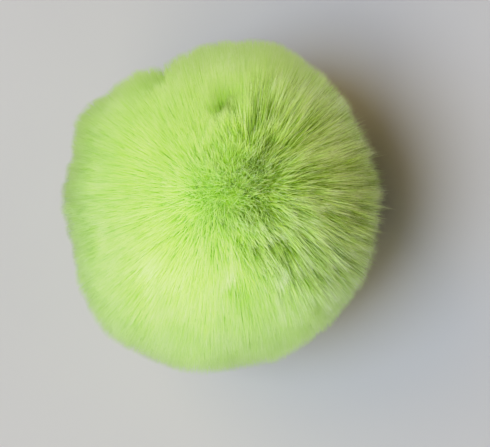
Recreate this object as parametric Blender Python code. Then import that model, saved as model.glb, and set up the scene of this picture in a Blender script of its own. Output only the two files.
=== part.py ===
"""A round fur pom pom that rests on its own pile.

The ball is one piece: a round backing, the gathered skin of the fur, with thick tapered locks that
are fused to it at their roots and stand apart beyond them. The locks fan out from a crown near the
top and are combed over, away from it. Those under the ball are shorter, and their blunt, level ends
make the small flat spot that it rests on.

Metres, +Z up. The origin is at the middle of the ball's box, on the surface that it rests on.
"""

import math
import random

import bmesh
import bpy
from mathutils import Quaternion, Vector

# Driving dimensions.
WIDTH = 0.080  # across X, over the tips
LENGTH = 0.083  # along Y, over the tips
HEIGHT = 0.078  # from the resting spot to the top
BACKING_SHARE = 0.52  # the backing's radius, as a share of the ball's
CENTRE_SHARE = 0.93  # the centre's height over the floor, as a share of the top's over the centre

# The plan outline, read round from +X towards +Y. It is a little lumpy, as pressed fur is.
PLAN_OUTLINE = (
    # bearing in degrees, reach in metres
    (0, 0.0394),
    (35, 0.0410),
    (70, 0.0427),
    (100, 0.0408),
    (130, 0.0402),
    (155, 0.0420),
    (185, 0.0396),
    (225, 0.0434),
    (255, 0.0428),
    (285, 0.0410),
    (320, 0.0399),
)

# Places where the pile parts or has been pressed in.
FURROWS = (
    # bearing, tilt from the top and half-width in degrees, depth in metres
    (110, 88, 9, 0.0055),
    (121, 70, 9, 0.0024),
    (350, 52, 8, 0.0016),
    (290, 62, 9, 0.0018),
    (92, 44, 7, 0.0016),
    (200, 112, 11, 0.0022),
    (40, 118, 12, 0.0024),
)

# The crown is where the fur parts, and the locks are combed away from it.
CROWN_BEARING = math.radians(45)
CROWN_TILT = math.radians(4)
COMBING = math.radians(18)  # how far a tip beside the ball is turned about the ball's centre
COMBING_CURL = 1.5  # the power by which the turn grows towards the tip
GATHERING = math.radians(14)  # how far a root beside the ball is turned back towards the crown

# The locks stand on the cells of a net that covers the backing.
NET_CORNERS = 150  # a net of n corners has 2n - 4 three-sided cells
NET_JITTER = 0.16  # how unevenly its corners lie, as a share of their spacing
LENGTH_SPREAD = 0.07  # the most that a lock falls short, as a share of its length
LOCK_RINGS = (
    # share of the lock's length, share of its cell that it fills there
    (0.00, 0.80),
    (0.45, 0.90),
    (0.78, 0.84),
    (0.93, 0.58),
    (1.00, 0.20),
)
BLUNT_FILL = 0.66  # the last ring's fill on a lock that the ball rests on
RANDOM_SEED = 8

# The fur's own finish.
FUR_COLOUR = (0.46, 0.76, 0.16, 1.0)
FUR_ROUGHNESS = 0.85

GOLDEN_ANGLE = math.pi * (3 - math.sqrt(5))
RADIUS_UP = HEIGHT / (1 + CENTRE_SHARE)  # from the ball's centre to its top
DROP = HEIGHT - RADIUS_UP  # from its centre to the floor
LEVEL_WITHIN = 1e-6  # a point nearer the floor than this lies on it


def clear_scene():
    for old in list(bpy.data.objects):
        bpy.data.objects.remove(old)


def pointing(bearing, tilt):
    """The unit vector at a bearing round from +X and a tilt from +Z."""
    level = math.sin(tilt)
    return Vector((math.cos(bearing) * level, math.sin(bearing) * level, math.cos(tilt)))


def plan_reach(bearing):
    """The plan outline's reach at a bearing, eased from row to row of PLAN_OUTLINE."""
    first_bearing, first_reach = PLAN_OUTLINE[0]
    rows = PLAN_OUTLINE + ((first_bearing + 360, first_reach),)
    at = math.degrees(bearing) % 360
    for (low, near), (high, far) in zip(rows, rows[1:]):
        if at <= high:
            ease = (1 - math.cos(math.pi * (at - low) / (high - low))) / 2
            return near + (far - near) * ease
    return first_reach


def full_reach(way):
    """How far the pile reaches from the centre along a unit vector, were there no floor."""
    sideways = math.hypot(way.x, way.y) / plan_reach(math.atan2(way.y, way.x))
    reach = 1 / math.hypot(sideways, way.z / RADIUS_UP)
    for bearing, tilt, half_width, depth in FURROWS:
        off = way.angle(pointing(math.radians(bearing), math.radians(tilt)))
        reach -= depth * math.exp(-((math.degrees(off) / half_width) ** 2))
    return reach


def pile_reach(way):
    """The same with the floor, where the pile ends level."""
    if way.z < 0:
        return min(full_reach(way), DROP / -way.z)
    return full_reach(way)


def from_crown(way, turn):
    """A unit vector turned away from the crown, fully beside the ball and less above and below."""
    axis = pointing(CROWN_BEARING, CROWN_TILT).cross(way)
    return Quaternion(axis.normalized(), turn * axis.length) @ way


def combed(way, share):
    """Where a lock that is rooted at a unit vector points, at a share of its length."""
    return from_crown(way, COMBING * share**COMBING_CURL)


def pile_point(way, share):
    """The point at a share of a lock's length, on the fibre that stands at a place on the backing."""
    turned = combed(way, share)
    root = BACKING_SHARE * full_reach(turned)
    return turned * (root + share * (pile_reach(turned) - root))


def net_corners(shuffle):
    """Unit vectors on a golden spiral, each a little off its place.

    They are gathered towards the crown, so that the combed tips spread evenly.
    """
    spacing = math.sqrt(4 * math.pi / NET_CORNERS)
    corners = []
    for i in range(NET_CORNERS):
        tilt = math.acos(1 - (2 * i + 1) / NET_CORNERS)
        way = pointing(i * GOLDEN_ANGLE, tilt)
        off = Vector([shuffle.uniform(-1, 1) for _ in range(3)])
        placed = (way + off * NET_JITTER * spacing).normalized()
        corners.append(from_crown(placed, -GATHERING))
    return corners


def grow_lock(bm, cell, corner_of, length):
    """Extrudes one cell of the net into a lock, ring by ring from its root to its tip."""
    middle = sum((vert[corner_of] for vert in cell.verts), Vector()).normalized()
    tip = combed(middle, 1.0)
    rests = pile_reach(tip) < full_reach(tip)
    for share, fill in LOCK_RINGS:
        if rests and share == 1.0:
            fill = BLUNT_FILL
        cell = bmesh.ops.extrude_discrete_faces(bm, faces=[cell])["faces"][0]
        for vert in cell.verts:
            way = middle.lerp(vert[corner_of], fill).normalized()
            vert.co = pile_point(way, share if rests else share * length)


def fit_to_size(mesh):
    """Lets the ball out to its driving dimensions and sets it on the origin."""
    size = (WIDTH, LENGTH, HEIGHT)
    low = [min(vert.co[axis] for vert in mesh.vertices) for axis in range(3)]
    high = [max(vert.co[axis] for vert in mesh.vertices) for axis in range(3)]
    stretch = [size[axis] / (high[axis] - low[axis]) for axis in range(3)]
    for vert in mesh.vertices:
        vert.co.x = (vert.co.x - (low[0] + high[0]) / 2) * stretch[0]
        vert.co.y = (vert.co.y - (low[1] + high[1]) / 2) * stretch[1]
        vert.co.z = (vert.co.z - low[2]) * stretch[2]
        if vert.co.z < LEVEL_WITHIN:
            vert.co.z = 0.0


def fur_material():
    material = bpy.data.materials.new("fur")
    material.use_nodes = True
    shader = material.node_tree.nodes["Principled BSDF"]
    shader.inputs["Base Color"].default_value = FUR_COLOUR
    shader.inputs["Roughness"].default_value = FUR_ROUGHNESS
    shader.inputs["Metallic"].default_value = 0.0
    return material


def make_fur_ball():
    """The whole ball: a net of cells round the backing, and a lock grown from each of them."""
    shuffle = random.Random(RANDOM_SEED)
    bm = bmesh.new()
    corner_of = bm.verts.layers.float_vector.new("corner")
    for way in net_corners(shuffle):
        vert = bm.verts.new(way)
        vert[corner_of] = way
    bmesh.ops.convex_hull(bm, input=list(bm.verts))
    bmesh.ops.recalc_face_normals(bm, faces=list(bm.faces))
    for vert in bm.verts:
        vert.co = pile_point(vert[corner_of], 0.0)
    for cell in list(bm.faces):
        grow_lock(bm, cell, corner_of, 1 - shuffle.uniform(0, LENGTH_SPREAD))
    mesh = bpy.data.meshes.new("fur_ball")
    bm.to_mesh(mesh)
    bm.free()
    fit_to_size(mesh)
    mesh.materials.append(fur_material())
    ball = bpy.data.objects.new("fur_ball", mesh)
    bpy.context.scene.collection.objects.link(ball)


def main():
    clear_scene()
    make_fur_ball()


main()
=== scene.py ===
# %% [markdown]
# # A fur pom pom, fibre by fibre
# A fur pom pom is one round cut of long, fine fur. A thread run round its edge gathers it behind, so
# the pile points every way, hides the join and makes the ball.
# Blender can grow such a coat with hair curves or with a particle system, but both have to become
# meshes before the model can leave Blender. Here each fibre is written straight into a mesh from
# arrays of numbers, so its length, bend, width and colour stay in our hands.

import math

import bpy
import numpy as np
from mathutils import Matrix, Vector
from mathutils.kdtree import KDTree


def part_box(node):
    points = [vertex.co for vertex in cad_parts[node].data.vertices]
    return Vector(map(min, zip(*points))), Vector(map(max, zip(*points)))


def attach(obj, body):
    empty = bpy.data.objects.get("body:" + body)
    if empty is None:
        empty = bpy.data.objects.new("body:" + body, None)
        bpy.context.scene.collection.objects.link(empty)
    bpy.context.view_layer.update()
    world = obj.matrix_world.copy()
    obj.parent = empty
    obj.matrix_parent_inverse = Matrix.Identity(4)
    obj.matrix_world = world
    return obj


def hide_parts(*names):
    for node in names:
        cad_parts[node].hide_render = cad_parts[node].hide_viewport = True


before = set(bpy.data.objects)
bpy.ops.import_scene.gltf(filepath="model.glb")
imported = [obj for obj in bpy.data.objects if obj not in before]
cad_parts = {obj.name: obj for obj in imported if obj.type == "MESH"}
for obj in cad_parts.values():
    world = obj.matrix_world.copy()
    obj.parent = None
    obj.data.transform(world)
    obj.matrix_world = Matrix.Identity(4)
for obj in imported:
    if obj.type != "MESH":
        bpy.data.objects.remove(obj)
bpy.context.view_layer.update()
ball_low, ball_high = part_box("fur_ball")
ball_size = [round(1000 * (high - low), 1) for low, high in zip(ball_low, ball_high)]
print("the packed ball measures", ball_size, "mm")

# %% [markdown]
# ## The middle of the ball
# The ball rests on a table, so the pile under it is pressed flat and its middle sits a little lower
# than half-way up. Every fibre is placed by its direction from this point. The height comes from the
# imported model, so the fur always fits the part. SHARE_BELOW says how high the lower half is for an
# upper half of 1.

# %% Find the middle
MM = 0.001
SHARE_BELOW = 0.93
half_height = ball_high[2] / (1 + SHARE_BELOW)
middle = np.array([0.0, 0.0, ball_high[2] - half_height])
print("the middle is", round(1000 * middle[2], 1), "mm above the table")

# %% [markdown]
# ## Directions on a ball
# To name a place on a ball, walk round it and then tip down from the top. A bearing is measured round
# from +X and a tilt down from +Z, both in degrees. These helpers take whole arrays, because numpy
# turns a hundred thousand fibres as quickly as a loop turns a hundred.

# %% Bearings and tilts
TINY = 1e-12


def pointing(bearing, tilt):
    """Unit vectors at bearings round from +X and tilts down from +Z, in degrees."""
    bearing = np.radians(bearing)
    tilt = np.radians(tilt)
    level = np.sin(tilt)
    return np.stack([np.cos(bearing) * level, np.sin(bearing) * level, np.cos(tilt)], -1)


def unit(vectors):
    """The same directions at length 1."""
    return vectors / np.maximum(np.linalg.norm(vectors, axis=-1, keepdims=True), TINY)


print("half-way down at the back points along", pointing(90, 45).round(2))

# %% [markdown]
# ## The outline from above
# No pom pom is a true circle, because its fur is never cut or gathered evenly. This one bulges at the
# front left and at the back, and is flatter on its right side. A smooth noise could give some such
# outline, but a short table of reaches gives this one. A cosine eases from row to row, since fur has
# no corners.

# %% Reach from above
PLAN_OUTLINE = np.array((
    # bearing in degrees, reach in mm
    (0, 39.0),
    (22, 38.4),
    (45, 40.2),
    (70, 42.5),
    (100, 40.6),
    (130, 40.2),
    (150, 42.3),
    (165, 40.1),
    (197, 39.6),
    (228, 43.7),
    (255, 43.0),
    (285, 41.2),
    (320, 40.1),
    (360, 39.0),
))


def plan_reach(bearing):
    """How far the pile reaches from the middle at bearings in radians, seen from above."""
    at = np.degrees(bearing) % 360
    row = np.searchsorted(PLAN_OUTLINE[:, 0], at, "right") - 1
    row = np.clip(row, 0, len(PLAN_OUTLINE) - 2)
    start, end = PLAN_OUTLINE[row, 0], PLAN_OUTLINE[row + 1, 0]
    reach, next_reach = PLAN_OUTLINE[row, 1], PLAN_OUTLINE[row + 1, 1]
    ease = (1 - np.cos(np.pi * (at - start) / (end - start))) / 2
    return MM * (reach + (next_reach - reach) * ease)


print("widest reach", PLAN_OUTLINE[:, 1].max(), "mm, narrowest", PLAN_OUTLINE[:, 1].min(), "mm")

# %% [markdown]
# ## Furrows and ridges
# Where the pile falls two ways, a furrow opens, and where it is pushed together, a ridge of tips stands
# up. The deepest furrow notches the outline at the back. Sculpting would work on a smooth ball, but
# not on loose fibres. So each furrow is a line on the ball with a half-width, a depth and a painted
# shade that darkens its hairs. Each ridge has a height and a painted highlight that makes its tips
# paler. The depth, the height and the paint fade out like a bell curve to both sides.

# %% Lines on the ball
FURROWS = (
    # bearing and tilt of its start, of its end, half-width in degrees, depth in mm, how much painted
    # shade darkens it
    (111, 98, 111, 80, 7.5, 9.0, 0.20),
    (110, 78, 121, 55, 7.0, 1.8, 0.20),
    (128, 37, 148, 24, 5.0, 0.7, 0.08),
    (91, 30, 88, 36, 4.8, 2.7, 0.42),
    (66, 26, 62, 31, 4.2, 3.4, 0.45),
    (42, 25, 30, 13, 3.0, 1.5, 0.20),
    (333, 17, 325, 22, 3.0, 0.7, 0.10),
    (325, 19, 313, 47, 3.0, 0.7, 0.09),
    (243, 11, 281, 44, 3.5, 0.5, 0.06),
    (281, 40, 283, 50, 4.5, 0.6, 0.06),
    (200, 106, 205, 120, 9.0, 2.0, 0.20),
    (40, 112, 38, 124, 9.0, 2.2, 0.20),
)
RIDGES = (
    # the same columns, with a height in mm and how much a painted highlight makes it paler
    (353, 20, 350, 32, 3.2, 1.0, 0.45),
    (334, 37, 332, 48, 3.5, 0.8, 0.25),
    (81, 25, 75, 28, 3.5, 0.9, 0.35),
    (78, 16, 50, 19, 3.0, 0.9, 0.35),
    (280, 24, 277, 36, 3.0, 0.4, 0.20),
)


def nearest_on_line(ways, start, end):
    """The nearest point to each unit vector on the line between two others."""
    span = end - start
    share = np.clip((ways - start) @ span / (span @ span), 0, 1)
    return unit(start + share[..., None] * span)


def line_pull(ways, line):
    """How much a furrow or ridge acts at unit vectors, from 0 to 1, and the way that leads off it."""
    start_bearing, start_tilt, end_bearing, end_tilt, half_width = line
    start = pointing(start_bearing, start_tilt)
    end = pointing(end_bearing, end_tilt)
    off = ways - nearest_on_line(ways, start, end)
    angle = np.degrees(np.linalg.norm(off, axis=-1))
    return np.exp(-((angle / half_width) ** 2)), unit(off)


print(len(FURROWS), "furrows and", len(RIDGES), "ridges")

# %% [markdown]
# ## How far the pile reaches
# The outline from above and the height make an egg-like ball, and the furrows and ridges are taken
# off it or added to it. This one function is the shape of the coat: every fibre and the felt below
# them ask it for their length, so they always agree.

# %% Reach in any direction
def pile_reach(ways):
    """How far the pile reaches from the middle along unit vectors, were there no table."""
    level = np.hypot(ways[..., 0], ways[..., 1])
    across = plan_reach(np.arctan2(ways[..., 1], ways[..., 0]))
    reach = 1 / np.hypot(level / across, ways[..., 2] / half_height)
    for *line, depth, _ in FURROWS:
        reach = reach - depth * MM * line_pull(ways, line)[0]
    for *line, height, _ in RIDGES:
        reach = reach + height * MM * line_pull(ways, line)[0]
    return reach


print("reach straight up", round(float(pile_reach(pointing(0, 0))) / MM, 1), "mm")

# %% [markdown]
# ## An even scatter
# Skin carries its hairs evenly but never in rows. Pure chance leaves bald spots and knots, and a grid
# shows its lines. A golden spiral spreads points evenly over a ball, and a small random step hides
# its pattern. The random numbers start from a fixed seed, so the fur grows the same each time.

# %% Scatter directions
GOLDEN_ANGLE = math.pi * (3 - math.sqrt(5))
HAIR_STEP = 0.5
BALL_RADIUS_MM = 40
SEED = 7
rng = np.random.default_rng(SEED)


def spacing(count):
    """How far apart so many points stand when they are spread over the ball, in radians."""
    return math.sqrt(4 * math.pi / count)


def scattered(count, step=HAIR_STEP):
    """Unit vectors spread evenly over the ball, each moved by a random share of their spacing."""
    turn = np.arange(count)
    height = 1 - (2 * turn + 1) / count
    ways = pointing(np.degrees(turn * GOLDEN_ANGLE), np.degrees(np.arccos(height)))
    return unit(ways + rng.normal(0, step * spacing(count), (count, 3)))


print("60 000 hairs stand", round(BALL_RADIUS_MM * spacing(60000), 2), "mm apart")

# %% [markdown]
# ## Smooth noise
# Neighbouring hairs lean, grow and take dye alike, and the likeness fades with distance. Blender's
# noise textures do this inside a material, but here the numbers are needed while the mesh is made.
# A sum of a few sine waves in random directions is smooth, quick and the same everywhere on the ball.

# %% Noise over the ball
WAVES = 16
WAVE_PACES = (0.6, 1.3)


class Noise:
    """Smooth noise over the ball, with about one hump per size in mm, spread about 0 by 1."""

    def __init__(self, size, parts):
        pace = 2 * math.pi * BALL_RADIUS_MM / size
        self.along = unit(rng.normal(0, 1, (WAVES, 3))) * pace
        self.along *= rng.uniform(*WAVE_PACES, (WAVES, 1))
        self.phase = rng.uniform(0, 2 * math.pi, WAVES)
        self.mix = rng.normal(0, 1, (WAVES, parts)) * math.sqrt(2 / WAVES)

    def __call__(self, ways):
        return np.sin(ways @ self.along.T + self.phase) @ self.mix


LEAN = (
    # radians, noise
    (0.030, Noise(24, 3)),
    (0.028, Noise(8, 3)),
    (0.022, Noise(3.5, 3)),
)
LENGTH_CHANGE = (
    # share of the reach, noise
    (0.006, Noise(16, 1)),
    (0.005, Noise(5, 1)),
)
TONE_CHANGE = (
    # share of the tone scale, noise
    (0.08, Noise(14, 1)),
    (0.08, Noise(5, 1)),
)
print("noise for lean, length and tone:", len(LEAN), len(LENGTH_CHANGE), len(TONE_CHANGE), "layers")

# %% [markdown]
# ## The crown and the fall of the pile
# Fur that is stroked down all round parts at the top, as hair does at a crown. Above the parting the
# hairs stand up and show their tips, and beside it they fall away and show their length. Each root is
# turned back towards the parting, so the hair that grows from it leans away. The turn is greatest at
# the sides of the ball and nothing at its top and bottom.

# %% Comb away from the parting
PARTING = (pointing(188, 5), pointing(14, 15))
COMBING = math.radians(26)
CROWN_WIDTH = 16


def combed(ways, turn):
    """Unit vectors turned away from the parting by up to an angle in radians."""
    start = nearest_on_line(ways, *PARTING)
    up = np.clip(np.sum(ways * start, -1), -1, 1)
    aside = unit(ways - up[..., None] * start)
    tilt = np.arccos(up)
    tilt = tilt + turn * np.sin(tilt)
    return np.cos(tilt)[..., None] * start + np.sin(tilt)[..., None] * aside


def near_crown(ways):
    """1 on the parting, falling to 0 beside it over the width of the crown."""
    off = np.degrees(np.linalg.norm(ways - nearest_on_line(ways, *PARTING), axis=-1))
    return np.exp(-((off / CROWN_WIDTH) ** 2))


parting_mm = BALL_RADIUS_MM * float(np.linalg.norm(PARTING[1] - PARTING[0]))
print("the parting is", round(parting_mm, 1), "mm long")

# %% [markdown]
# ## The ruffled side
# One side of the coat lies brushed and smooth, and the other is blown up, so its tufts stand apart and
# show light tips over dark gaps. One number for each direction says how ruffled the pile is there.
# Lean, scatter, length and tone all follow it, so they change together as they do on real fur.

# %% How ruffled
RUFFLED_WAY = pointing(3, 46)
BRUSHED = 0.15
RUFFLED = 3.5
RUFFLE_STARTS = 0.57


def ruffled(ways):
    """How ruffled the pile is along unit vectors: under 1 where it lies brushed, over 1 where not."""
    share = np.clip((ways @ RUFFLED_WAY - RUFFLE_STARTS) / (1 - RUFFLE_STARTS), 0, 1)
    smooth = share * share * (3 - 2 * share)
    return BRUSHED + (RUFFLED - BRUSHED) * smooth


print("ruffle on the crown", round(float(ruffled(pointing(0, 0))), 2))

# %% [markdown]
# ## Tufts
# Fine hairs cling together at their tips and make small tufts, each with its own length and tone. The
# longer ones are painted a little paler, as the light they catch, and the shorter ones a little darker,
# as the shade they lie in. Each hair finds the tuft nearest to its tip and is drawn part of the way to
# it. A kd-tree, Blender's own search tree, finds the nearest of many points without measuring to them
# all.

# %% Scatter the tufts
TUFT_COUNT = 34000
TUFT_STEP = 0.6
TUFT_LENGTH_SPREAD = 0.012
LONG_PAINTED_LIGHT = 0.2
tufts = scattered(TUFT_COUNT, TUFT_STEP)
tuft_length = rng.normal(0, 1, TUFT_COUNT)
# Painted light: longer tufts are made a little paler and shorter ones darker; the rest of the tuft tone
# is random.
tuft_tone = LONG_PAINTED_LIGHT * tuft_length + math.sqrt(1 - LONG_PAINTED_LIGHT**2) * rng.normal(0, 1, TUFT_COUNT)
tuft_tree = KDTree(TUFT_COUNT)
for number, way in enumerate(tufts):
    tuft_tree.insert(way, number)
tuft_tree.balance()


def nearest_tuft(ways):
    """The number of the tuft nearest to each unit vector."""
    return np.array([tuft_tree.find(way)[1] for way in ways])


print(TUFT_COUNT, "tufts, about", round(BALL_RADIUS_MM * spacing(TUFT_COUNT), 2), "mm apart")

# %% [markdown]
# ## From root to tip
# A hair's root is fixed by the skin, and its tip goes where its neighbours take it. So the tips lean
# with the noise, turn away from furrows and in over ridges, close up into tufts, and last of all stray
# a little: more where the pile is ruffled, and most at the crown. A furrow or ridge turns them by a
# share of its half-width. Only a furrow deeper than OPEN_FURROW_MM turns them fully, and by no more
# than MOST_TURN in degrees, or the felt would lie bare in it. Roots and tips are both plain directions
# here. The next steps join them.

# %% Tip directions
FURROW_TURN = 0.55
MOST_TURN = 2.3
OPEN_FURROW_MM = 2.5
RIDGE_TURN = 0.45
LEAST_LEAN = 0.25
LEAST_LOOSE = 0.4
LOOSE_BY_RUFFLE = 0.6
LOOSE_UP_TO = 1.5
LOOSE_ON_CROWN = 3.4


def tip_ways(base, pull, scatter):
    """Where the tips of hairs point, and the tuft of each, from even directions over the ball."""
    calm = (LEAST_LEAN + (1 - LEAST_LEAN) * np.minimum(1, ruffled(base)))[:, None]
    tips = base
    for amount, noise in LEAN:
        tips = tips + amount * calm * noise(base)
    for *line, depth, _ in FURROWS:
        weight, away = line_pull(base, line)
        half_width = line[-1]
        turn = min(FURROW_TURN * half_width, MOST_TURN) * min(1.0, depth / OPEN_FURROW_MM)
        tips = tips + (math.radians(turn) * weight)[:, None] * away
    for *line, _, _ in RIDGES:
        weight, away = line_pull(base, line)
        half_width = line[-1]
        tips = tips - (RIDGE_TURN * math.radians(half_width) * weight)[:, None] * away
    tips = unit(tips)
    tuft = nearest_tuft(tips)
    tips = tips + calm * pull[:, None] * (tufts[tuft] - tips)
    loose = LEAST_LOOSE + LOOSE_BY_RUFFLE * np.minimum(LOOSE_UP_TO, ruffled(tips))
    loose = scatter * (loose + LOOSE_ON_CROWN * near_crown(base))
    return unit(tips + loose[:, None] * rng.normal(0, 1, base.shape)), tuft


print("a furrow turns its nearest tips away by up to", MOST_TURN, "degrees")

# %% [markdown]
# ## The tone of each hair
# Dye takes unevenly: some tufts are paler and some hairs in them darker. Painted shade darkens the
# hairs in a furrow, a painted highlight makes the tips on a ridge paler, and painted light makes the
# hairs near the parting paler. All of that becomes one number a hair, its tone from 0 to 1, which the
# finish will turn into colour. On the ruffled side the tones differ more, so the tufts show, and the
# noise that makes soft patches of tone is stronger there too.

# %% Tones
MIDDLE_TONE = 0.55
# Painted light near the parting, which lifts the shade between the upright hairs.
CROWN_PAINTED_LIGHT = 0.13
TUFT_TONE_SPREAD = 0.28
HAIR_TONE_SPREAD = 0.08
LEAST_PATCHES = 0.3
PATCHES_BY_RUFFLE = 0.7
PATCHES_UP_TO = 1.6
TONE_ENDS = (0.02, 0.98)


def hair_tones(tips, tuft):
    """The tone of each hair, from its tip's direction and its tuft."""
    rough = ruffled(tips)
    spread = TUFT_TONE_SPREAD * tuft_tone[tuft] + rng.normal(0, HAIR_TONE_SPREAD, len(tips))
    # Near the parting the tone is raised as painted light over the shade between upright hairs; the
    # spread is random.
    tone = MIDDLE_TONE + CROWN_PAINTED_LIGHT * near_crown(tips) + rough * spread
    # Painted shade: the hairs in a furrow are darkened, as the shade that lies in it.
    for *line, _, darker in FURROWS:
        tone = tone - darker * line_pull(tips, line)[0]
    # Painted highlight: the tips on a ridge are made paler, as the light they catch.
    for *line, _, paler in RIDGES:
        tone = tone + paler * line_pull(tips, line)[0]
    patches = LEAST_PATCHES + PATCHES_BY_RUFFLE * np.minimum(PATCHES_UP_TO, rough)
    for amount, noise in TONE_CHANGE:
        tone = tone + amount * patches * noise(tips)[:, 0]
    return np.clip(tone, *TONE_ENDS)


print("a tuft's tone differs by about", TUFT_TONE_SPREAD, "where the ruffle is 1")

# %% [markdown]
# ## The line of each hair
# A hair leaves the skin one way and ends another, with a slight wave. A physics simulation would bend
# a hundred thousand hairs slowly. Blending from the root's direction to the tip's gives the same
# sweep at once. The blend starts slowly, so hairs stand first and lean later. A length close to 1
# comes closer to it when it is raised to a small power, and that evens the pile where it is brushed.
# Points that would fall below the table are pressed up on to it by a soft floor, which flattens the
# pile without a hard edge.

# %% Hair lines
ROOT_SHARE = 0.66
EVEN_LENGTH = 0.3
LEAN_LATER = 1.25
WAVE_TURNS = 5.5
PRESSED = 0.7 * MM
TABLE_GAP = 0.12 * MM


def on_table(points):
    """The same points, with those near or below the table pressed softly up on to it."""
    height = points[..., 2]
    points[..., 2] = PRESSED * np.logaddexp(0, height / PRESSED) + TABLE_GAP
    return points


def hair_lines(count, steps, length, pull, scatter, wave, root_share=ROOT_SHARE, gather=1.0):
    """Points along each hair as an array of hair by point by xyz, and the tone of each hair."""
    base = scattered(count)
    roots = combed(base, -COMBING * gather)
    tips, tuft = tip_ways(base, pull, scatter)
    change = sum(amount * noise(tips)[:, 0] for amount, noise in LENGTH_CHANGE)
    evened = np.clip(ruffled(tips), EVEN_LENGTH, 1)
    length = length**evened * (1 + ruffled(tips) * TUFT_LENGTH_SPREAD * tuft_length[tuft] + change)
    wave_way = rng.normal(0, 1, (count, 3))
    phase = rng.uniform(0, 2 * np.pi, count)
    points = []
    for share in np.linspace(0, 1, steps + 1):
        way = roots + share**LEAN_LATER * (tips - roots)
        swing = np.sin(phase + WAVE_TURNS * share) - np.sin(phase)
        way = unit(way + wave * swing[:, None] * wave_way)
        reach = pile_reach(way) * (root_share + share * (length - root_share))
        points.append(middle + way * reach[:, None])
    return on_table(np.stack(points, 1)), hair_tones(tips, tuft)


print("roots start", round((1 - ROOT_SHARE) * half_height / MM, 1), "mm below the top of the pile")

# %% [markdown]
# ## One hair as a mesh
# A real hair is round, but at a fifth of a millimetre three sides are plenty, and smooth shading rounds
# them. Each hair is closed at its root and tapers to a point, so the mesh has no open edges. Its faces
# are the same for every hair, so they are listed once and repeated for all with numpy. Each corner
# also gets a place on a map, in a narrow strip that runs from the root at 0 to the tip at 1.

# %% Faces of one hair
SIDES = 3
STRIP = 0.003
ROOT_FACE = 0.02


def hair_faces(steps):
    """The faces of one closed hair, and a map place for each of their corners."""
    across = (-STRIP, 0.0, STRIP)
    shares = np.linspace(0, 1, steps + 1)
    faces = [(2, 1, 0)]
    places = [(STRIP, 0.0), (0.0, ROOT_FACE), (-STRIP, 0.0)]
    for step in range(steps):
        low, high = SIDES * step, SIDES * (step + 1)
        for side in range(SIDES):
            other = (side + 1) % SIDES
            corners = [low + side, low + other]
            on_map = [(across[side], shares[step]), (across[other], shares[step])]
            if step < steps - 1:
                corners += [high + other, high + side]
                on_map += [(across[other], shares[step + 1]), (across[side], shares[step + 1])]
            else:
                corners += [high]
                on_map += [(0.0, 1.0)]
            faces.append(tuple(corners))
            places += on_map
    return faces, np.array(places)


for steps in (1, 2, 3):
    faces, _ = hair_faces(steps)
    print("a hair of", steps, "steps has", sum(len(face) - 2 for face in faces), "triangles")

# %% [markdown]
# ## Many hairs as one mesh
# One object for each hair would choke Blender, so thousands are joined in one mesh. Where the pile is
# brushed, the hairs turn one edge outwards nearly alike, so they catch the light alike and look smooth.
# Where it is ruffled, each is twisted its own way. foreach_set hands whole arrays to Blender, which is
# far quicker than adding vertices one by one. The map that goes with the mesh isn't a flattened skin:
# its u is the hair's tone and its v runs from root to tip. With that, one small finish can colour every
# hair by its tone and along its length.

# %% Build a mesh of hairs
TAPER = 0.85
TAPER_LATE = 2.2
TWIST = 2.0
HAIR_MAP = "OFBake"


def hair_points(lines, width):
    """The corners of three-sided hairs round their lines, each with a ring a step and one tip."""
    count, rows = lines.shape[:2]
    along = unit(np.gradient(lines, axis=1))
    outward = unit(lines - middle)
    twist = TWIST * np.minimum(1, ruffled(outward[:, -1]))[:, None, None]
    outward = outward + twist * rng.normal(0, 1, (count, 1, 3))
    outward = unit(outward - np.sum(outward * along, -1, keepdims=True) * along)
    aside = np.cross(outward, along)
    half_width = width[:, None] / 2 * (1 - np.linspace(0, 1, rows)[None] ** TAPER_LATE * TAPER)
    turn = np.pi / 2 + np.arange(SIDES) * 2 * np.pi / SIDES
    ring = (np.cos(turn)[None, None, :, None] * aside[:, :, None]
            + np.sin(turn)[None, None, :, None] * outward[:, :, None])
    rings = lines[:, :, None] + half_width[:, :, None, None] * ring
    return np.concatenate([rings[:, :-1].reshape(count, -1, 3), lines[:, -1:]], 1)


def hair_mesh(name, lines, width, tone):
    """One mesh of closed three-sided hairs that taper to a point."""
    count, rows = lines.shape[:2]
    points = hair_points(lines, width)
    faces, places = hair_faces(rows - 1)
    corners = np.concatenate([np.array(face) for face in faces])
    corners = (corners[None] + points.shape[1] * np.arange(count)[:, None]).ravel()
    sizes = np.tile([len(face) for face in faces], count)
    starts = np.concatenate([[0], np.cumsum(sizes)[:-1]])
    on_map = places[None] + np.stack([tone, np.zeros(count)], 1)[:, None]

    mesh = bpy.data.meshes.new(name)
    mesh.vertices.add(count * points.shape[1])
    mesh.vertices.foreach_set("co", points.astype(np.float32).ravel())
    mesh.loops.add(len(corners))
    mesh.loops.foreach_set("vertex_index", corners.astype(np.int32))
    mesh.polygons.add(len(starts))
    mesh.polygons.foreach_set("loop_start", starts.astype(np.int32))
    mesh.update(calc_edges=True)
    hair_map = mesh.uv_layers.new(name=HAIR_MAP, do_init=False)
    hair_map.uv.foreach_set("vector", on_map.astype(np.float32).ravel())
    mesh.shade_smooth()
    print(name, "has", count, "hairs and", int((sizes - 2).sum()), "triangles")
    return mesh


print("half-way up, a hair still has", round(1 - 0.5**TAPER_LATE * TAPER, 2), "of its width")

# %% [markdown]
# ## The hair finish: dye with painted shade and highlight
# The colour runs from a deep lime at the root through a middle one to a pale, frosty tip. The deep root
# is painted shade for the depth of the pile, and the pale tip is a painted highlight. A second ramp
# turns the tone into a tint, from olive green to plain white, and multiplies the first. The roots are
# matt and the tips a little glossier. A trace of sheen stands for the fuzz that is too fine to build.

# %% Make the hair finish
DEEP_LIME = (0.52, 0.82, 0.055)
MIDDLE_LIME = (0.60, 0.92, 0.235)
PALE_TIP = (0.775, 0.98, 0.52)
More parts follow.
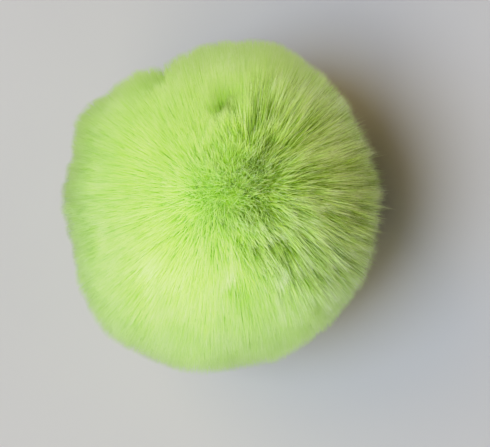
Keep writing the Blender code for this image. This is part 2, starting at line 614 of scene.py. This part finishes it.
# The deep root is painted shade and the pale tip a painted highlight.
LENGTH_STOPS = (
    # share of the length, colour
    (0.0, DEEP_LIME),
    (0.40, DEEP_LIME),
    (0.75, MIDDLE_LIME),
    (1.0, PALE_TIP),
)
TONE_STOPS = (
    # tone, tint
    (0.0, (0.25, 0.33, 0.06)),
    (0.45, (0.78, 0.885, 0.50)),
    (0.8, (0.955, 0.985, 0.78)),
    (1.0, (1.0, 1.0, 1.0)),
)
ROOT_ROUGHNESS = 0.75
TIP_ROUGHNESS = 0.55
HAIR_SPECULAR = 0.08
SHEEN = 0.04
SHEEN_TINT = (0.9, 1.0, 0.6, 1)


def add_ramp(tree, stops):
    """A colour ramp that eases through stops of place and colour."""
    node = tree.nodes.new("ShaderNodeValToRGB")
    node.color_ramp.interpolation = "EASE"
    marks = node.color_ramp.elements
    while len(marks) > 1:
        marks.remove(marks[-1])
    for number, (place, colour) in enumerate(stops):
        mark = marks[0] if number == 0 else marks.new(place)
        mark.position = place
        mark.color = (*colour, 1)
    return node


def add_blend(tree, kind, factor=1.0):
    """A mix node for colours that blends B into A."""
    node = tree.nodes.new("ShaderNodeMix")
    node.data_type = "RGBA"
    node.blend_type = kind
    node.inputs["Factor"].default_value = factor
    return node


def add_range(tree, start, end):
    """A node that turns 0 to 1 into another range."""
    node = tree.nodes.new("ShaderNodeMapRange")
    node.inputs["To Min"].default_value = start
    node.inputs["To Max"].default_value = end
    return node


hair_dye_and_painted_light = bpy.data.materials.new("hair_dye_and_painted_light")
hair_dye_and_painted_light.use_nodes = True
tree = hair_dye_and_painted_light.node_tree
shader = tree.nodes["Principled BSDF"]
on_map = tree.nodes.new("ShaderNodeUVMap")
on_map.uv_map = HAIR_MAP
split = tree.nodes.new("ShaderNodeSeparateXYZ")
tree.links.new(on_map.outputs["UV"], split.inputs[0])
# Painted shade at the root and a painted highlight at the tip, along each hair.
along_hair = add_ramp(tree, LENGTH_STOPS)
tree.links.new(split.outputs["Y"], along_hair.inputs[0])
by_tone = add_ramp(tree, TONE_STOPS)
tree.links.new(split.outputs["X"], by_tone.inputs[0])
dye_and_painted_light = add_blend(tree, "MULTIPLY")
tree.links.new(along_hair.outputs["Color"], dye_and_painted_light.inputs["A"])
tree.links.new(by_tone.outputs["Color"], dye_and_painted_light.inputs["B"])
tree.links.new(dye_and_painted_light.outputs["Result"], shader.inputs["Base Color"])
gloss = add_range(tree, ROOT_ROUGHNESS, TIP_ROUGHNESS)
tree.links.new(split.outputs["Y"], gloss.inputs["Value"])
tree.links.new(gloss.outputs["Result"], shader.inputs["Roughness"])
shader.inputs["Specular IOR Level"].default_value = HAIR_SPECULAR
shader.inputs["Sheen Weight"].default_value = SHEEN
shader.inputs["Sheen Tint"].default_value = SHEEN_TINT
print("hair finish with", len(tree.nodes), "nodes")

# %% [markdown]
# ## The felt below the pile
# Between the roots lies a dense mat of short underhair, and no light or eye gets through it. Growing it
# hair by hair would cost millions of faces that nobody sees. A closed skin just below the pile does
# the same: a finely divided ball, pushed out to a share of the pile's own reach and roughened a little.

# %% Shape the felt
FELT_SHARE = 0.86
FELT_LUMPS = Noise(5, 1)
FELT_LUMP_HEIGHT = 0.006
FELT_FINENESS = 5
bpy.ops.mesh.primitive_ico_sphere_add(subdivisions=FELT_FINENESS, radius=1)
felt = bpy.context.object
felt.name = "felt"
felt.data.name = "felt"
felt_points = np.empty(len(felt.data.vertices) * 3, np.float32)
felt.data.vertices.foreach_get("co", felt_points)
felt_ways = unit(felt_points.reshape(-1, 3).astype(float))
felt_share = FELT_SHARE + FELT_LUMP_HEIGHT * FELT_LUMPS(felt_ways)[:, 0]
felt_points = middle + felt_ways * (felt_share * pile_reach(felt_ways))[:, None]
felt.data.vertices.foreach_set("co", on_table(felt_points).astype(np.float32).ravel())
felt.data.shade_smooth()
print("the felt has", len(felt.data.polygons), "faces")

# %% [markdown]
# ## The felt finish
# Matted underhair is the same dye seen deep down: mottled, quite matt and grainy. A noise texture in
# the object's own space mixes two limes, so the mottle stays in place however the ball turns. A finer
# noise makes the grain as a bump, because a grain this small would never change the outline.

# %% Make the felt finish
FELT_DARK = (0.40, 0.70, 0.06)
FELT_LIGHT = (0.52, 0.82, 0.14)
FELT_STOPS = ((0.35, FELT_DARK), (0.65, FELT_LIGHT))
MOTTLE_PER_METRE = 450
MOTTLE_DETAIL = 3
GRAIN_PER_METRE = 2200
GRAIN_DETAIL = 2
GRAIN_STRENGTH = 0.5
GRAIN_HEIGHT = 0.2 * MM
FELT_ROUGHNESS = 0.9


def add_noise(tree, scale, detail):
    """A noise texture in the object's own space, with its scale in lumps a metre."""
    place = tree.nodes.new("ShaderNodeTexCoord")
    node = tree.nodes.new("ShaderNodeTexNoise")
    node.inputs["Scale"].default_value = scale
    node.inputs["Detail"].default_value = detail
    tree.links.new(place.outputs["Object"], node.inputs["Vector"])
    return node


def add_bump(tree, height, strength, distance):
    """A bump node on a height, its distance in metres."""
    node = tree.nodes.new("ShaderNodeBump")
    node.inputs["Strength"].default_value = strength
    node.inputs["Distance"].default_value = distance
    tree.links.new(height, node.inputs["Height"])
    return node


matted_hair = bpy.data.materials.new("matted_hair")
matted_hair.use_nodes = True
tree = matted_hair.node_tree
shader = tree.nodes["Principled BSDF"]
mottle = add_noise(tree, MOTTLE_PER_METRE, MOTTLE_DETAIL)
limes = add_ramp(tree, FELT_STOPS)
tree.links.new(mottle.outputs["Fac"], limes.inputs[0])
tree.links.new(limes.outputs["Color"], shader.inputs["Base Color"])
grain = add_noise(tree, GRAIN_PER_METRE, GRAIN_DETAIL)
bump = add_bump(tree, grain.outputs["Fac"], GRAIN_STRENGTH, GRAIN_HEIGHT)
tree.links.new(bump.outputs["Normal"], shader.inputs["Normal"])
shader.inputs["Roughness"].default_value = FELT_ROUGHNESS
shader.inputs["Specular IOR Level"].default_value = HAIR_SPECULAR
print("felt finish with", len(tree.nodes), "nodes")

# %% [markdown]
# ## Fitting the fur to the part
# The imported model has one body, called root, and one plain piece, which stays for the physics. Every
# piece of fur rides on that body, gets its finish and stands in for the plain piece. The pieces also go
# in a collection of their own, because some lights will shine on the fur alone.

# %% Fit the felt
fur_pieces = bpy.data.collections.new("fur_pieces")


def fit_fur(piece, finish):
    """Give a piece its finish and its place in the part."""
    piece.data.materials.append(finish)
    fur_pieces.objects.link(piece)
    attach(piece, "root")
    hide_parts("fur_ball")


def hair_piece(name, lines, width, tone):
    """A new piece of fur from hair lines."""
    piece = bpy.data.objects.new(name, hair_mesh(name, lines, width, tone))
    bpy.context.scene.collection.objects.link(piece)
    fit_fur(piece, hair_dye_and_painted_light)


fit_fur(felt, matted_hair)
print("fitted", felt.name)

# %% [markdown]
# ## Underhair
# Short, thick underhair fills the coat from below, so no bare felt shows between the long hairs. It
# ends in many directions and at many lengths, like wadding. One straight step a hair is enough, as only
# its tips are ever seen.

# %% Grow the underhair
UNDERHAIRS = 24000
UNDERHAIR_LENGTHS = (0.90, 0.98)
UNDERHAIR_SCATTER = 0.07
UNDERHAIR_WIDTH = 0.55 * MM
length = rng.uniform(*UNDERHAIR_LENGTHS, UNDERHAIRS)
no_pull = np.zeros(UNDERHAIRS)
lines, tone = hair_lines(UNDERHAIRS, 1, length, no_pull, UNDERHAIR_SCATTER, wave=0.0)
hair_piece("underhair", lines, np.full(UNDERHAIRS, UNDERHAIR_WIDTH), tone)

# %% [markdown]
# ## The pile
# These are the hairs that make the coat: long, fine, nearly even in length and drawn together into
# tufts. Two steps let each one bend. They are split into four meshes, because one mesh of them all
# would be heavy to load.

# %% Grow the pile
PILE_HAIRS = 68000
PILE_MESHES = 4
PILE_LENGTH_SPREAD = 0.013
PILE_PULLS = (0.5, 0.97)
PILE_SCATTER = 0.010
PILE_WAVE = 0.010
PILE_WIDTHS_MM = (0.18, 0.32)
length = rng.normal(1, PILE_LENGTH_SPREAD, PILE_HAIRS)
pull = rng.uniform(*PILE_PULLS, PILE_HAIRS)
lines, tone = hair_lines(PILE_HAIRS, 2, length, pull, PILE_SCATTER, PILE_WAVE)
width = rng.uniform(*PILE_WIDTHS_MM, PILE_HAIRS) * MM
for number, part in enumerate(np.array_split(np.arange(PILE_HAIRS), PILE_MESHES)):
    hair_piece(f"pile_{number}", lines[part], width[part], tone[part])

# %% [markdown]
# ## Fine tips
# Between the tufts, single fine hairs reach the surface on their own. They soften the edges of the
# tufts and fill the gaps with thin light lines. They are rooted higher, since their lower part is
# hidden, and so one straight step keeps them cheap.

# %% Grow the fine tips
FINE_TIPS = 42000
FINE_LENGTH = 1.004
FINE_LENGTH_SPREAD = 0.014
FINE_PULLS = (0.0, 0.7)
FINE_SCATTER = 0.014
FINE_ROOT_SHARE = 0.80
FINE_GATHER = 0.5
FINE_WIDTH = 0.20 * MM
length = rng.normal(FINE_LENGTH, FINE_LENGTH_SPREAD, FINE_TIPS)
pull = rng.uniform(*FINE_PULLS, FINE_TIPS)
lines, tone = hair_lines(FINE_TIPS, 1, length, pull, FINE_SCATTER, wave=0.0,
                         root_share=FINE_ROOT_SHARE, gather=FINE_GATHER)
hair_piece("fine_tips", lines, np.full(FINE_TIPS, FINE_WIDTH), tone)

# %% [markdown]
# ## Stray hairs
# A few hairs in any fur stand clear of the rest, and they make the soft halo round the outline. They
# are the thinnest and the longest, each goes its own way, and three steps give them a curve that can
# be seen against the table.

# %% Grow the stray hairs
STRAY_HAIRS = 1600
STRAY_LENGTH = 1.025
STRAY_LENGTH_SPREAD = 0.014
STRAY_SCATTER = 0.03
STRAY_WAVE = 0.02
STRAY_WIDTH = 0.11 * MM
length = rng.normal(STRAY_LENGTH, STRAY_LENGTH_SPREAD, STRAY_HAIRS)
lines, tone = hair_lines(STRAY_HAIRS, 3, length, np.zeros(STRAY_HAIRS), STRAY_SCATTER, STRAY_WAVE)
hair_piece("stray_hairs", lines, np.full(STRAY_HAIRS, STRAY_WIDTH), tone)

# %% [markdown]
# ## The table
# The ball lies on a plain pale table top. A large flat plane is enough. A faint cloudiness and an
# uneven gloss keep it from looking like paper.

# %% Lay the table
TABLE_SIZE = 20
TABLE_PALE = (0.745, 0.68, 0.675)
TABLE_DULL = (0.695, 0.635, 0.635)
TABLE_STOPS = ((0.3, TABLE_DULL), (0.7, TABLE_PALE))
TABLE_ROUGHNESS = (0.66, 0.74)
CLOUDS_PER_METRE = 6
CLOUD_DETAIL = 4
bpy.ops.mesh.primitive_plane_add(size=TABLE_SIZE)
table = bpy.context.object
table.name = "table"
table_top = bpy.data.materials.new("table_top")
table_top.use_nodes = True
tree = table_top.node_tree
shader = tree.nodes["Principled BSDF"]
clouds = add_noise(tree, CLOUDS_PER_METRE, CLOUD_DETAIL)
greys = add_ramp(tree, TABLE_STOPS)
tree.links.new(clouds.outputs["Fac"], greys.inputs[0])
tree.links.new(greys.outputs["Color"], shader.inputs["Base Color"])
gloss = add_range(tree, *TABLE_ROUGHNESS)
tree.links.new(clouds.outputs["Fac"], gloss.inputs["Value"])
tree.links.new(gloss.outputs["Result"], shader.inputs["Roughness"])
table.data.materials.append(table_top)
print("table", TABLE_SIZE, "m wide")

# %% [markdown]
# ## The room behind
# Seen from low down, the table ends and the room behind it shows. The room should look pale there, but
# if it also shone so brightly on the fur, the shadow beside the ball would be lost. The Light Path
# node tells the two apart: a ray from the camera sees the pale room, and all others meet a dim one.

# %% Make the room
DIM_ROOM = (0.02, 0.019, 0.018, 1)
PALE_ROOM = (0.60, 0.595, 0.585, 1)
room = bpy.data.worlds.new("room")
bpy.context.scene.world = room
room.use_nodes = True
tree = room.node_tree
dim = tree.nodes["Background"]
dim.inputs["Color"].default_value = DIM_ROOM
pale = tree.nodes.new("ShaderNodeBackground")
pale.inputs["Color"].default_value = PALE_ROOM
rays = tree.nodes.new("ShaderNodeLightPath")
either = tree.nodes.new("ShaderNodeMixShader")
tree.links.new(rays.outputs["Is Camera Ray"], either.inputs["Fac"])
tree.links.new(dim.outputs["Background"], either.inputs[1])
tree.links.new(pale.outputs["Background"], either.inputs[2])
tree.links.new(either.outputs["Shader"], tree.nodes["World Output"].inputs["Surface"])
print("the room is seen at", PALE_ROOM[1], "and lights at", DIM_ROOM[1])

# %% [markdown]
# ## Window light
# Soft daylight falls from the left, so the ball's shadow lies to its right. A sun lamp with a wide
# angle gives that softness, and the same light over the whole table. A bluish key comes from high on
# the left, and two warm lamps stand at its sides and round the ball off. Only these two reach into
# the shadow, so the shadow is brown.

# %% Hang the window lights
WINDOW_LIGHTS = (
    # name, bearing, height above the table in degrees, spread in degrees, strength, colour
    ("key", 199, 61, 30, 2.20, (0.60, 0.765, 0.99)),
    ("front", 235, 42, 40, 1.07, (0.95, 0.91, 0.63)),
    ("back", 150, 42, 40, 0.95, (0.98, 0.80, 0.42)),
)


def hang_sun(name, bearing, height, spread, strength, colour, lit=None):
    """A sun lamp that shines from a bearing and height, on all things or on one collection."""
    data = bpy.data.lights.new(name, "SUN")
    data.angle = math.radians(spread)
    data.energy = strength
    data.color = colour
    lamp = bpy.data.objects.new(name, data)
    bpy.context.scene.collection.objects.link(lamp)
    way = Vector(pointing(bearing, 90 - height))
    lamp.location = Vector(middle) + way
    lamp.rotation_mode = "QUATERNION"
    lamp.rotation_quaternion = way.to_track_quat("Z", "Y")
    lamp.light_linking.receiver_collection = lit


for row in WINDOW_LIGHTS:
    hang_sun(*row)
print(len(WINDOW_LIGHTS), "lights shine on the table and the fur")

# %% [markdown]
# ## Light for the fur alone
# Light passes on from hair to hair, so real fur glows on the sides that a window doesn't reach. Solid
# meshes can't pass it on so freely. Low lamps all round and one overhead give that glow back. Light
# linking keeps them off the table, where they would wash out the shadow.

# %% Hang the fur lights
FUR_LIGHTS = (
    # the same columns
    ("front_low", 260, 12, 24, 2.4, (1.0, 1.0, 1.4)),
    ("left_low", 165, 10, 36, 1.16, (0.78, 1.0, 1.0)),
    ("back_low", 98, 12, 28, 1.42, (1.06, 0.97, 1.12)),
    ("right_side", 16, 26, 40, 0.94, (1.10, 0.79, 0.80)),
    ("overhead", 330, 80, 60, 0.85, (1.30, 1.04, 0.60)),
)
for row in FUR_LIGHTS:
    hang_sun(*row, lit=fur_pieces)
print(len(FUR_LIGHTS), "lights shine on the fur alone")

# %% [markdown]
# ## The camera
# The ball is seen almost straight from above, from a little to the front. The lens is worked out from
# the size that the ball should have in the picture, and the aim from the place of its middle there,
# so no number has to be found by trying. CAMERA_HEIGHT is an angle above the table in degrees, as for
# the lamps, and CAMERA_AWAY is in metres.

# %% Place the camera
FRAME_WIDTH = 490
FRAME_HEIGHT = 447
PIXELS_PER_MM = 4.02
BALL_COLUMN = 223.5
BALL_ROW = 204.5
CAMERA_BEARING = 270
CAMERA_HEIGHT = 84
CAMERA_AWAY = 0.38
SENSOR = 36
camera_data = bpy.data.cameras.new("camera")
camera = bpy.data.objects.new("camera", camera_data)
bpy.context.scene.collection.objects.link(camera)
towards_camera = Vector(pointing(CAMERA_BEARING, 90 - CAMERA_HEIGHT))
camera.rotation_mode = "QUATERNION"
camera.rotation_quaternion = towards_camera.to_track_quat("Z", "Y")
right = camera.rotation_quaternion @ Vector((1, 0, 0))
up = camera.rotation_quaternion @ Vector((0, 1, 0))
camera_data.sensor_width = SENSOR
camera_data.lens = SENSOR * CAMERA_AWAY * PIXELS_PER_MM / MM / FRAME_WIDTH
aside = (FRAME_WIDTH / 2 - BALL_COLUMN) / PIXELS_PER_MM * MM
below = (FRAME_HEIGHT / 2 - BALL_ROW) / PIXELS_PER_MM * MM
aim = Vector(middle) + right * aside - up * below
camera.location = aim + towards_camera * CAMERA_AWAY
bpy.context.scene.camera = camera
print("a lens of", round(camera_data.lens, 1), "mm")

# %% [markdown]
# ## How bright light is shown
# Pale fur in bright light would burn out to flat white. A curve that bends over gently keeps its pale
# tones apart and leaves the darker half as it is. The standard view keeps the limes clean. The softer
# film-like views turn them grey.

# %% Bend the bright tones
CURVE_POINTS = (
    # light in, light shown
    (0.5, 0.5),
    (0.8, 0.70),
)
CURVE_END = (1.0, 0.77)
ALL_COLOURS = 3
view = bpy.context.scene.view_settings
view.view_transform = "Standard"
view.use_curve_mapping = True
curve = view.curve_mapping.curves[ALL_COLOURS]
for light_in, shown in CURVE_POINTS:
    curve.points.new(light_in, shown)
curve.points[-1].location = CURVE_END
view.curve_mapping.update()
print("full light is shown as", CURVE_END[1])
